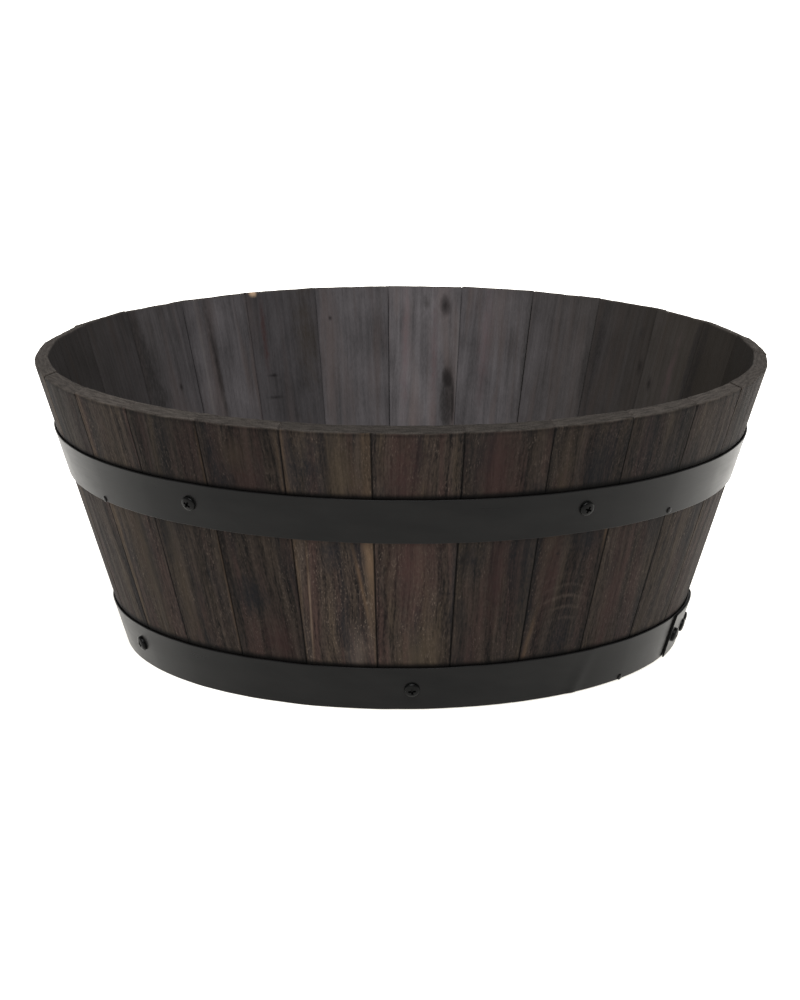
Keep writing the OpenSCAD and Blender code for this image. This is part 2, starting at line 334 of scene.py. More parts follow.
# Stave wood: dark stained, weathered, with marks on the boards that show in front and inside
woodLooks = {
    "dark": (0.0035, 0.0027, 0.0025, 1),
    "mid": (0.0325, 0.0235, 0.0188, 1),
    "pale": (0.1050, 0.0810, 0.0660, 1),    # flecks
    "blue": (0.0058, 0.0060, 0.0074, 1),    # stain
    "red": (0.0285, 0.0135, 0.0125, 1),
    "olive": (0.0360, 0.0265, 0.0170, 1),
    "tan": (0.0520, 0.0350, 0.0220, 1),     # sapwood
    "insideDark": (0.020, 0.0185, 0.0190, 1),
    "insidePale": (0.084, 0.077, 0.080, 1),
    "insideWarm": (0.060, 0.045, 0.041, 1),
    "insideBrown": (0.030, 0.025, 0.019, 1),
    "endDark": (0.010, 0.0085, 0.0075, 1),
    "endPale": (0.068, 0.059, 0.052, 1),
    "rose": (0.085, 0.056, 0.058, 1),
    "shade": (0.018, 0.0165, 0.016, 1),
    "knot": (0.005, 0.004, 0.004, 1),
    "raw": (0.48, 0.33, 0.22, 1),           # freshly broken wood
    "maroon": (0.050, 0.016, 0.013, 1),
    "amber": (0.088, 0.056, 0.034, 1),
    "worn": (0.120, 0.111, 0.109, 1),
    "brownMiddle": -0.04,                   # metres along X: the inner faces turn brown to both sides of it
    "brownReach": (0.11, 0.25),
    "toneHeights": (105, 165),              # millimetres up, between a board's low and its high tone
    # width of the painted shade, with some dirt, along the seams
    "seamShadeAndDirt": 1.45,                       # millimetres
    # how far up the painted shadow, with some dirt, above each hoop fades
    "hoopShadeAndDirt": 4.6,
    "hoopTops": (150.1, 30.6),              # millimetres above the ground
}

# How strongly each kind of mark colours the wood, in the order in which they lie on it
markStrengths = {
    "olive": 0.62, "red": 0.68, "blue": 0.8, "amber": 0.6, "pale": 0.34, "rose": 0.45,
    "shade": 0.7, "worn": 0.4, "maroon": 0.6, "knot": 0.85, "raw": 1.0,
}

# Kind, stave, inner face or not, place across and up, half width and half height, all in millimetres,
# then the slant, the softness of the border and how ragged it is
marks = [
    ("olive", 24, 0, 4, 100, 9, 110, 0, 1.5, 0.6),
    ("olive", 25, 0, -13, 80, 8, 55, 0, 1.5, 0.6),
    ("olive", 1, 0, 3, 42, 16, 22, 0.1, 1.5, 0.6),
    ("olive", 26, 0, -4, 182, 10, 14, 0, 1.5, 0.6),
    ("olive", 3, 0, -16, 150, 7, 60, 0, 1.5, 0.6),
    ("olive", 27, 0, 12, 175, 12, 30, 0, 1.5, 0.6),
    ("red", 1, 0, -2, 110, 17, 45, 0, 1.5, 0.6),
    ("red", 1, 0, -8, 175, 14, 40, 0, 1.5, 0.6),
    ("red", 26, 0, 6, 48, 14, 20, 0, 1.5, 0.6),
    ("red", 26, 0, 4, 160, 14, 30, 0, 1.5, 0.6),
    ("red", 2, 0, 1, 95, 8, 45, 0, 1.5, 0.6),
    ("red", 2, 0, -6, 175, 15, 40, 0, 1.5, 0.6),
    ("red", 3, 0, -13, 98, 8, 32, 0, 1.5, 0.6),
    ("red", 4, 0, -9, 70, 7, 55, 0, 1.5, 0.6),
    ("blue", 26, 0, -8, 80, 12, 17, 0, 0.8, 0.6),
    ("blue", 26, 0, -20, 170, 6, 40, 0, 1.5, 0.7),
    ("blue", 3, 0, 9, 122, 16, 12, 0, 1.3, 0.7),
    ("blue", 3, 0, 4, 45, 14, 24, 0, 1.3, 0.7),
    ("blue", 3, 0, 6, 170, 7, 34, 0, 1.5, 0.7),
    ("blue", 27, 0, -2, 116, 8, 13, 0.05, 1.3, 0.7),
    ("blue", 27, 0, -12, 178, 12, 28, 0, 1.5, 0.7),
    ("blue", 2, 0, -16, 112, 11, 18, 0, 1.5, 0.7),
    ("blue", 2, 0, 20, 100, 7, 60, 0, 1.5, 0.7),
    ("blue", 4, 0, 14, 150, 10, 50, 0, 1.5, 0.7),
    ("blue", 1, 0, 25, 90, 4, 60, 0, 1.5, 0.5),
    ("amber", 3, 0, -20, 40, 1.9, 36, 0.1, 1.5, 0.4),
    ("amber", 3, 0, 24.5, 128, 1.6, 24, 0, 1.1, 0.4),
    ("amber", 25, 0, 24.6, 75, 2.0, 80, 0.03, 1.3, 0.5),
    ("amber", 25, 0, 27.4, 175, 1.8, 34, 0.04, 1.3, 0.5),
    ("amber", 26, 0, 26, 100, 1.2, 90, 0, 1.3, 0.5),
    ("amber", 27, 0, -28.2, 165, 0.9, 26, -0.04, 1.2, 0.4),
    ("amber", 27, 0, -17.4, 80, 0.9, 58, 0.01, 2.2, 0.2),
    ("amber", 27, 0, 16.6, 93, 1.4, 36, -0.13, 2.0, 0.3),
    ("amber", 27, 0, 23.5, 112, 4.5, 28, -0.1, 1.6, 0.4),
    ("pale", 27, 0, -17.4, 76, 0.8, 50, 0.02, 1.1, 0.5),
    ("pale", 27, 0, 20.5, 56, 0.35, 4, -1.6, 0.6, 0.2),
    ("pale", 27, 0, 12, 42, 7, 22, 0.1, 1.6, 0.6),
    ("pale", 26, 0, 28, 208.6, 1.2, 1.2, 0, 0.6, 0.3),
    ("pale", 3, 0, 26, 203, 1.6, 2.2, 0, 0.9, 0.4),
    ("olive", 16, 1, -17, 172, 10, 40, 0, 1.5, 0.6),
    ("rose", 14, 1, 14, 160, 3.5, 60, 0, 1.5, 0.6),
    ("rose", 14, 1, -8, 150, 3, 50, 0, 1.5, 0.6),
    ("rose", 13, 1, 6, 165, 5, 50, 0, 1.5, 0.6),
    ("rose", 10, 1, -5, 162, 4, 28, 0, 1.5, 0.6),
    ("shade", 18, 1, 22, 150, 15, 110, 0.2, 0.5, 0.3),
    ("shade", 17, 1, 6.6, 155, 3.3, 58, 0.03, 1.3, 0.4),
    ("shade", 14, 1, -1, 192, 4, 6, 0, 1.5, 0.5),
    ("shade", 13, 1, -25, 145, 3, 60, 0, 1.2, 0.4),
    ("shade", 12, 1, -24, 150, 4, 50, 0, 1.3, 0.4),
    ("shade", 11, 1, -18, 184, 3, 5, 0, 1.5, 0.5),
    ("shade", 11, 1, 20, 165, 6, 60, 0, 1.5, 0.5),
    ("shade", 10, 1, -25, 160, 5, 60, 0, 0.6, 0.4),
    ("shade", 9, 1, 20, 160, 8, 70, 0, 1.2, 0.4),
    ("worn", 17, 1, 16.5, 140, 1.7, 90, 0.01, 1.5, 0.4),
    ("worn", 14, 1, -25.7, 118, 1.6, 70, 0, 1.2, 0.3),
    ("maroon", 16, 1, 16.3, 172, 2.4, 30, 0, 1.3, 0.6),
    ("knot", 3, 0, -9.5, 111, 1.5, 1.2, 0, 1.0, 0.4),
    ("knot", 1, 0, 21.6, 87.4, 0.9, 0.7, 0, 0.7, 0.2),
    ("knot", 2, 0, -22, 112, 1.8, 3.6, 0, 1.2, 0.5),
    ("knot", 2, 0, -24, 87, 0.8, 0.8, 0, 0.8, 0.2),
    ("knot", 18, 1, -8.2, 143.5, 1.8, 3.5, 0, 1.2, 0.4),
    ("knot", 17, 1, 7.0, 163, 2.0, 34, 0.03, 1.9, 0.5),
    ("knot", 16, 1, 13, 142, 5, 1.4, 0, 1.4, 0.5),
    ("knot", 16, 1, 12.4, 126, 6, 1.6, 0, 1.4, 0.5),
    ("knot", 15, 1, 17.4, 181.5, 1.6, 2.2, 0, 1.1, 0.4),
    ("knot", 14, 1, -15.8, 190.5, 4.8, 9, 0, 1.0, 0.4),
    ("shade", 14, 1, -18.3, 120, 5.8, 28, 0, 0.5, 0.2),
    ("knot", 14, 1, -18.3, 118, 6.8, 32, 0, 1.6, 0.2),
    ("knot", 14, 1, -18.4, 136, 5.2, 11, 0, 0.7, 0.2),
    ("knot", 14, 1, -22.6, 116, 1.8, 24, 0, 0.9, 0.3),
    ("knot", 11, 1, -23, 160.7, 2.6, 6, 0, 1.5, 0.5),
    ("knot", 10, 1, 15.2, 150.7, 2.8, 6, 0.1, 1.5, 0.5),
    ("raw", 16, 1, 21.5, 204.0, 3.9, 4.0, 0, 0.6, 0.4),
]


def staveWood():
    material, m, shader = newMaterial("weathered stave wood", Specular_IOR_Level=0.08)
    look = woodLooks
    position = Wire(m, m.node("ShaderNodeTexCoord").outputs["Object"])
    x, y, z = m.split(position)
    height = z * 1000
    board = m.vectorMaths("SCALE", attribute(m, "boardPlace"), 1000.0)
    across, along, deep = m.split(board)
    number, slant, sapLow = m.split(attribute(m, "boardLook"))
    lowTone, highTone, innerTone = m.split(attribute(m, "boardTone"))
    sapLeft, sapRight, rimTone = m.split(attribute(m, "boardSap"))
    inner, end, half = m.split(attribute(m, "boardFace"))
    lines = useGroup(m, grain, board=board, seed=number * 3.7, slant=slant)
    fibre, fuzz, band, fleck, cloud = (lines[k] for k in ("Fibre", "Fuzz", "Band", "Fleck", "Cloud"))

    # outer face
    shade = fibre * 0.34 + fuzz * 0.28 + band * 0.38
    outside = m.mix(m.ramp(shade, 0.22, 0.8), look["dark"], look["mid"])
    tint = m.noise(m.vector(across * 0.1, along * 0.01, 0.0), number * 2.1 + 40, detail=2.5)
    outside = m.mix(m.ramp(tint, 0.47, 0.33) * m.ramp(shade, 0.2, 0.8, 0.1, 0.6), outside, look["olive"])
    outside = m.mix(m.ramp(tint, 0.5, 0.64) * m.ramp(shade, 0.2, 0.8, 0.1, 0.6), outside, look["red"])
    outside = m.mix(m.ramp(cloud, 0.5, 0.95) * m.ramp(shade, 0.2, 0.8, 0.75, 0.35), outside, look["blue"])
    fromLeft, fromRight = half * 1000 + across, half * 1000 - across
    sapWave = (m.noise(m.vector(0.0, along * 0.03, 0.0), number + 60, detail=2.0) - 0.5) * 5
    sapGrow = m.ramp(along, sapLow, sapLow + 70, 0.1, 1.0)
    sides = [m.ramp(inset + sapWave - width * sapGrow, -1.2, 1.8, 1.0, 0.0) * m.ramp(width, 0.0, 2.0)
             for inset, width in ((fromLeft, sapLeft), (fromRight, sapRight))]
    sap = m.maths("MAXIMUM", *sides)
    outside = m.mix(sap * m.ramp(shade, 0.1, 0.9, 0.2, 0.75), outside, look["tan"])
    outside = m.mix(fleck * 0.38, outside, look["pale"])

    # inner face, greyer and softer
    streak = m.noise(m.vector(across * 0.3, along * 0.012, 0.0), number * 2.9 + 7, detail=3.0)
    bloom = m.noise(m.vector(across * 0.06, along * 0.035, 0.0), number * 1.3 + 90, detail=3.0)
    insideShade = m.ramp(streak, 0.3, 0.7) * 0.4 + m.ramp(bloom, 0.3, 0.7) * 0.34 + fibre * 0.12 + fuzz * 0.14
    inside = m.mix(insideShade, look["insideDark"], look["insidePale"])
    inside = m.mix(m.ramp(tint, 0.5, 0.68) * 0.5, inside, look["insideWarm"])
    brown = m.ramp(m.maths("ABSOLUTE", x - look["brownMiddle"]), *look["brownReach"])
    inside = m.mix(brown * 0.8, inside, look["insideBrown"])

    # end grain of the rim
    pores = m.noise(m.vector(across * 1.1, deep * 1.1, number), number + 31, detail=2.0, roughness=0.7)
    rings = m.noise(m.vector(across * 0.1, deep * 0.7, number), number + 37, detail=2.0)
    endShade = m.ramp(pores, 0.32, 0.68) * 0.55 + m.ramp(rings, 0.35, 0.65) * 0.45
    ends = m.vectorMaths("SCALE", m.mix(endShade, look["endDark"], look["endPale"]), rimTone)

    # marks on the long faces
    wobble = (m.noise(m.vector(across * 0.2, along * 0.11, number), 3.0, detail=2.0) - 0.5) * 2.4

    def marked(wanted, centre, size):
        return useGroup(m, mark, board=board, number=number, inside=inner, wobble=wobble,
                        wanted=wanted, centre=centre, size=size)["Mask"]

    masks = {}
    for kind, stave, isInside, middle, up, wide, tall, lean, soft, ragged in marks:
        spot = marked((stave, isInside, soft), (middle, up, lean), (wide, tall, ragged))
        masks[kind] = m.maths("MAXIMUM", masks[kind], spot) if kind in masks else spot
    colour = m.mix(inner, outside, inside)
    for kind, strength in markStrengths.items():
        solid = kind in ("raw", "knot")
        grained = strength if solid else m.ramp(fuzz, 0.0, 1.0, strength * 1.25, strength * 0.75)
        colour = m.mix(masks[kind] * grained, colour, look[kind])

    # growth rings cut across on the stave right of the front
    arch = along + (across - 2) * (across - 2) * 0.018 + m.noise(m.vector(across * 0.12, 0.0, 0.0), 3.0) * 3
    ringLine = m.ramp(m.maths("PINGPONG", arch, 4.2), 2.0, 4.2, smooth=True)
    archZone = marked((3.0, 0.0, 1.5), (4.0, 76.0, -0.1), (21.0, 20.0, 0.4))
    colour = m.mix(ringLine * archZone * m.ramp(fuzz, 0.0, 1.0, 0.14, 0.4), colour, look["pale"])

    # tones of the board; painted shade with some dirt in the seams, painted shadow with some dirt above each
    # hoop, and a painted shadow line just under the rim
    # painted shade in the seams, partly dirt: darker within about a millimetre and a half of a board's edges
    seam = m.ramp(m.maths("MINIMUM", fromLeft, fromRight), 0.2, look["seamShadeAndDirt"], 0.0, 1.0, smooth=True)
    seam = 1 - (1 - seam) * (0.9 - inner * 0.7)     # fainter on the inner face
    # painted shadow under each hoop's upper edge, partly dirt, fading upwards on the wood
    hoopShadeBands = []
    for top in look["hoopTops"]:
        over = height - top
        hoopShadeBands.append(m.ramp(over, 0.9, look["hoopShadeAndDirt"], 1.0, 0.0, smooth=True) * m.ramp(over, -3, -1))
    shadeAndDirt = m.maths("MAXIMUM", *hoopShadeBands)
    outerTone = lowTone + (highTone - lowTone) * m.ramp(along, *look["toneHeights"])
    tone = outerTone + (innerTone - outerTone) * inner
    # painted shadow line just under the rim's outer edge, joined with the painted shadow and dirt above the
    # hoops
    below = boardLength / mm - along
    rimShadowLine = m.ramp(below, 0.9, 2.0) * m.ramp(below, 4.0, 2.0) * m.ramp(fibre, 0.0, 1.0, 0.55, 0.25)
    shadeAndDirt = m.maths("MAXIMUM", shadeAndDirt * 0.93, rimShadowLine) * (1 - inner)
    colour = m.vectorMaths("SCALE", colour, seam * tone * (1 - shadeAndDirt))
    colour = m.mix(end * (1 - masks["raw"]), colour, ends)
    m.plug(shader.inputs["Base Color"], colour)
    m.plug(shader.inputs["Roughness"], m.ramp(shade, 0.0, 1.0, 0.82, 0.62))
    relief = fibre * 0.6 + fuzz * 0.5 + fleck * 0.4 + band * 0.3 - masks["knot"] * 0.6
    addBump(m, shader, relief, 0.16 * mm, 0.8)
    return material


# Staves: each board is a block of points bent to the tub's side, with worn edges and its groove
staveSizes = {
    "innerGap": 0.06,                       # millimetres between two staves on the inner side
    "seamRound": 0.55 * mm,
    "rimRound": 1.5 * mm,
    "roundOver": 0.15 * mm,                 # rise of the turned outer face over the flat
    "innerWear": 0.9 * mm,                  # hollow in the middle of the rim's inner edge
    "warp": 0.2 * mm,                       # hollows in the faces
    "chips": 0.9 * mm,                      # unevenness of the rim
    "grooveLow": 15 * mm,                   # heights of the groove that holds the bottom
    "grooveHigh": 23.5 * mm,
    "grooveDepth": 4 * mm,
}
# Worn corners of the rim, left and right, in millimetres
wornCorners = {3: (0.1, 2.6), 2: (0.1, 0.1), 1: (0.1, 0.2), 27: (0.5, 0.1), 26: (0.1, 0.7), 25: (0.1, 0.2),
               17: (1.6, 0.3), 24: (0.6, 0.1), 12: (0.3, 1.0), 20: (1.2, 0.3), 8: (0.2, 1.0)}
# Heights of the stave tops against the rim line, in millimetres, where they show
rimSteps = {1: 0.1, 2: 0.0, 3: 0.05, 4: -0.1, 5: 0.0, 27: 0.0, 26: 0.15, 25: 0.05, 24: 0.2, 23: -0.4,
            9: -0.6, 10: -0.45, 11: -0.1, 12: 0.2, 13: 0.45, 14: 0.2, 15: 0.1, 16: 0.2, 17: 0.0, 18: -0.1}
# Openings of the seams that show dark inside, by the stave before them, in millimetres
openSeams = {16: 0.12, 17: 0.5, 14: 0.3, 12: 0.5, 11: 0.25, 13: 0.14}
# Outer tone low and high, slant of the grain, sapwood left and right and the height where it begins, in
# millimetres, and the tone of the rim
staveLooks = {
    24: (1.05, 1.0, 0.0, 6, 0, 0, 1.15),
    25: (0.88, 0.57, 0.0, 0, 0, 0, 1.0),
    26: (0.75, 0.66, 0.02, 0, 0, 0, 0.85),
    27: (1.34, 1.0, 0.05, 2, 6, 50, 0.7),
    1: (1.16, 0.99, -0.01, 0, 0, 0, 0.65),
    2: (0.74, 0.71, 0.0, 0, 0, 0, 0.7),
    3: (0.69, 0.68, -0.03, 0, 0, 0, 0.8),
    4: (0.82, 0.65, 0.02, 0, 0, 0, 0.95),
    5: (0.96, 0.88, 0.0, 0, 0, 0, 1.08),
}
innerTones = {7: 0.6, 8: 0.6, 9: 0.75, 10: 0.92, 11: 0.68, 12: 0.91, 13: 1.05, 14: 1.3, 15: 0.98, 16: 0.61,
              17: 0.96, 18: 0.86, 19: 0.62, 20: 0.58, 21: 0.6}


def staveTree():
    size = staveSizes
    tree, m = newTree("barrel stave")
    pins = m.inputs({
        "Foot Radius": footRadius, "Length": boardLength, "Thickness": tub["thickness"], "Lean": tub["lean"],
        "Half Pitch": pitch / 2, "Seam Gap": tub["seamGap"], "Azimuth": 0.0, "Number": 1.0, "Step": 0.0,
        "Seam Round": size["seamRound"], "Rim Round": size["rimRound"], "Warp": size["warp"],
        "Chips": size["chips"], "Groove Low": size["grooveLow"], "Groove High": size["grooveHigh"],
        "Groove Depth": size["grooveDepth"], "Round Over": size["roundOver"],
        "Inner Wear": size["innerWear"], "Left Wear": 0.0, "Right Wear": 0.0,
        "Left Gap": 0.0, "Right Gap": 0.0, "Slant": 0.0, "Sap Low": 0.0,
        "Tone": (1.0, 1.0, 1.0), "Sap": (0.0, 0.0, 1.0), "Material": None,
    })
    thick, number = pins["Thickness"], pins["Number"]
    sine, cosine = m.maths("SINE", pins["Lean"]), m.maths("COSINE", pins["Lean"])
    tangent = sine / cosine
    edge, rim, wall, deepEdge = 2 * mm, 7 * mm, 0.02 * mm, 2.4 * mm
    columns, rows, layers = (5, 14, 5), (3, 4, 1, 2, 1, 46, 10), (4, 2, 4)
    board = m.block(columns, rows, layers)
    u, v, w = m.split(m.step("GeometryNodeInputPosition"))
    u, v, w = u + 0.5, v + 0.5, 0.5 - w         # across, up, and in from the outer face

    # top edge: the saw cut, small chips and the worn corners
    ragged = m.noise(m.vector(u * 7, w * 1.5, 0.0), number, detail=4.0, roughness=0.6)
    top = pins["Length"] + pins["Step"] - m.ramp(ragged, 0.45, 0.85) * pins["Chips"]
    for wear, side in ((pins["Left Wear"], 1 - u), (pins["Right Wear"], u)):
        corner = m.ramp(side, 0.8, 1.0)
        top = top - corner * corner * wear
    low, high = pins["Groove Low"] / cosine, pins["Groove High"] / cosine
    up = m.spread(v, rows, (edge, low - edge, wall, high - low, wall, top - rim - high - 2 * wall, rim))
    groove = m.spread(v, rows, (0, 0, 1.0, 0, -1.0, 0, 0))      # 1 in the groove, 0 outside it
    deep = m.spread(w, layers, (deepEdge, thick - 2 * deepEdge, deepEdge))

    # level at the foot and groove, square to the board at the rim
    def levelled(up, deep):
        return up - deep * tangent * m.ramp(up, high + 10 * mm, pins["Length"], 1.0, 0.0)

    radius = pins["Foot Radius"] + levelled(up, deep) * sine - deep * cosine
    half = radius * m.maths("TANGENT", pins["Half Pitch"])
    inwards = deep / thick
    closed = m.ramp(top - up, 12 * mm, 2 * mm, 1.0, 0.12)
    left, right = (half - (pins["Seam Gap"] / 2 * (1 - inwards) + pins[gap] / 2 * inwards) * closed
                   for gap in ("Left Gap", "Right Gap"))
    across = m.spread(u, columns, (edge, left + right - 2 * edge, edge)) - left

    wearNoise = m.noise(m.vector(u * 3, v * 9, w), number + 50, detail=3.0)
    rimRound = pins["Rim Round"] * m.ramp(wearNoise, 0.3, 0.7, 0.6, 1.5) * (1 - inwards * 0.35)
    seamRound = pins["Seam Round"] * m.ramp(wearNoise, 0.3, 0.7, 0.6, 1.4) * (1 - inwards * 0.6)
    seamRound = seamRound * m.ramp(top - up, 8 * mm, 2 * mm, 1.0, 0.25)
    nearRim = m.ramp(top - up, 9 * mm, 2.5 * mm) * m.ramp(m.maths("ABSOLUTE", u - 0.5), 0.5, 0.46)
    rounding = seamRound + (rimRound - seamRound) * nearRim
    lowCorner = m.vector(-left, 0.0, 0.0)
    highCorner = m.vector(right, top, thick)
    across, up, deep = m.split(m.rounded(m.vector(across, up, deep), lowCorner, highCorner, rounding))
    hollow = m.noise(m.vector(across * 35, up * 12, 0.0), number + 70, detail=2.0)
    hollowed = m.ramp(hollow, 0.3, 0.7) * pins["Warp"]      # only ever inwards
    turned = across * across / (pins["Foot Radius"] + up * sine) / 2 - pins["Round Over"]
    bowl = 1 - (across * across) / (half * half)
    worn = bowl * m.ramp(top - up, 25 * mm, 0.0, smooth=True) * pins["Inner Wear"]
    inwards = deep / thick
    deep = deep * (1 - groove * pins["Groove Depth"] / thick)
    deep = deep + (hollowed + turned) * (1 - inwards) - worn * inwards

    # what the material reads, then the board in its place
    board = m.store(board, "boardPlace", m.vector(across, up, deep))
    board = m.store(board, "boardLook", m.vector(number, pins["Slant"], pins["Sap Low"]))
    board = m.store(board, "boardTone", pins["Tone"])
    board = m.store(board, "boardSap", pins["Sap"])
    inner = m.ramp(inwards, 0.9, 0.95)
    end = m.ramp(top - up, 1.1 * mm, 0.35 * mm)
    board = m.store(board, "boardFace", m.vector(inner, end, half))

    up = levelled(up, deep)
    radius = pins["Foot Radius"] + up * sine - deep * cosine
    turnCos, turnSin = m.maths("COSINE", pins["Azimuth"]), m.maths("SINE", pins["Azimuth"])
    place = m.vector(radius * turnCos - across * turnSin, radius * turnSin + across * turnCos,
                     up * cosine + deep * sine)
    board = m.step("GeometryNodeSetPosition", geometry=board, position=place)
    m.finishGeometry(board, pins["Material"])
    return tree


def makeStaves():
    tree, wood = staveTree(), staveWood()
    for number in range(1, tub["staves"] + 1):
        # staves that don't show get looks that vary steadily round the tub
        spareLook = (0.95 + 0.16 * math.sin(number * 2.3), 0.9 + 0.16 * math.sin(number * 2.9),
                     0.04 * math.sin(number * 1.9), max(0.0, 7 * math.sin(number * 1.1)),
                     max(0.0, 9 * math.sin(number * 1.7 + 2)), 40, 1)
        spareWear = [0.4 + 0.4 * math.sin(number * pace) for pace in (5, 7)]
        spareStep = 0.4 * math.sin(math.radians(number * 137))
        lowTone, highTone, slant, sapLeft, sapRight, sapLow, rimTone = staveLooks.get(number, spareLook)
        left, right = wornCorners.get(number, spareWear)
        step = rimSteps.get(number, spareStep)
        leftGap, rightGap = (openSeams.get(seam, staveSizes["innerGap"]) for seam in (number - 1, number))
        stave = grow(tree, f"barrel_stave_{number:02d}", {
            "Azimuth": staveAzimuth(number), "Number": float(number), "Step": step * mm, "Material": wood,
            "Left Wear": left * mm, "Right Wear": right * mm,
            "Left Gap": leftGap * mm, "Right Gap": rightGap * mm,
            "Tone": (float(lowTone), float(highTone), innerTones.get(number, 0.8)),
            "Sap": (float(sapLeft), float(sapRight), float(rimTone)),
            "Sap Low": float(sapLow), "Slant": float(slant),
        })
        hand(stave, "stave_wood", f"stave_{number:02d}")
    print("staves made:", tub["staves"])


makeStaves()

# Black satin paint on the hoops
hoopLooks = {
    "dark": (0.0045, 0.0045, 0.0046, 1),
    "light": (0.0075, 0.0074, 0.0073, 1),
    "dust": (0.05, 0.047, 0.043, 1),
    "dusty": 0.2,
    "roughness": (0.26, 0.36),              # least and most
}


def hoopPaint():
    look = hoopLooks
    material, m, shader = newMaterial("black hoop paint", Specular_IOR_Level=0.085)
    strip = m.vectorMaths("SCALE", attribute(m, "stripPlace"), 1000.0)
    run, height, out = m.split(strip)
    cloud = m.noise(m.vector(run * 0.02, height * 0.06, out), 2.0, detail=4.0, roughness=0.6)
    brushed = m.noise(m.vector(run * 0.05, height * 0.7, out), 5.0, detail=2.0)
    speck = m.noise(objectMillimetres(m), 8.0, scale=0.9, detail=3.0, roughness=0.7)
    colour = m.mix(m.ramp(cloud, 0.3, 0.7), look["dark"], look["light"])
    dust = m.ramp(speck, 0.62, 0.75) * m.ramp(cloud, 0.45, 0.7)
    colour = m.mix(dust * look["dusty"], colour, look["dust"])
    m.plug(shader.inputs["Base Color"], colour)
    m.plug(shader.inputs["Roughness"], m.ramp(cloud * 0.7 + brushed * 0.3, 0.3, 0.7, *look["roughness"]))
    addBump(m, shader, speck * 0.6 + brushed * 0.2, 0.02 * mm, 0.4)
    return material


# Hoops: a strip wound once round the staves, bent a little at every seam, its start lapped over its end
hoopSizes = {
    "height": 30 * mm,
    "thickness": 1.2 * mm,
    "play": 0.05 * mm,                      # between the strip and the wood
    "lapLength": 58 * mm,
    "lapGap": 0.06 * mm,
    "lapRamp": math.radians(4),
    "lip": 0.12 * mm,                       # how far the upper edge stands off the wood
    "lipHeight": 9 * mm,
    "flare": 0.3 * mm,                      # how far the free end springs out
    "flareReach": 0.06,                     # radians
    "dent": 0.12 * mm,
    "ripple": 0.4 * mm,                     # rise and fall of the edges
    # how far each hoop has slipped down and its right side stands up, and the kink right of the front
    "slack": {"upper_hoop": (0.15 * mm, -1.0 * mm, 0.0), "lower_hoop": (0.0, 0.8 * mm, 0.7 * mm)},
    "creaseAt": math.radians(-54.5),
    "creaseReach": 0.035,                   # radians to each side
    "creaseSlant": 0.05,                    # radians over the strip's height
    "edgeRound": 0.42 * mm,
    "bulge": 0.92,                          # 0 flat between the bends, 1 fully round
    "roundOver": 0.25 * mm,                 # rise of the fully round shape over the middle of a flat
    "columns": 14,                          # segments on each flat
    "hoops": {"upper_hoop": (120.1 * mm, 73.0), "lower_hoop": (0.6 * mm, -22.5)},   # lower edge, free end
}


def lapAngle(length, low):
    return length / outerRadius(low + hoopSizes["height"] / 2)


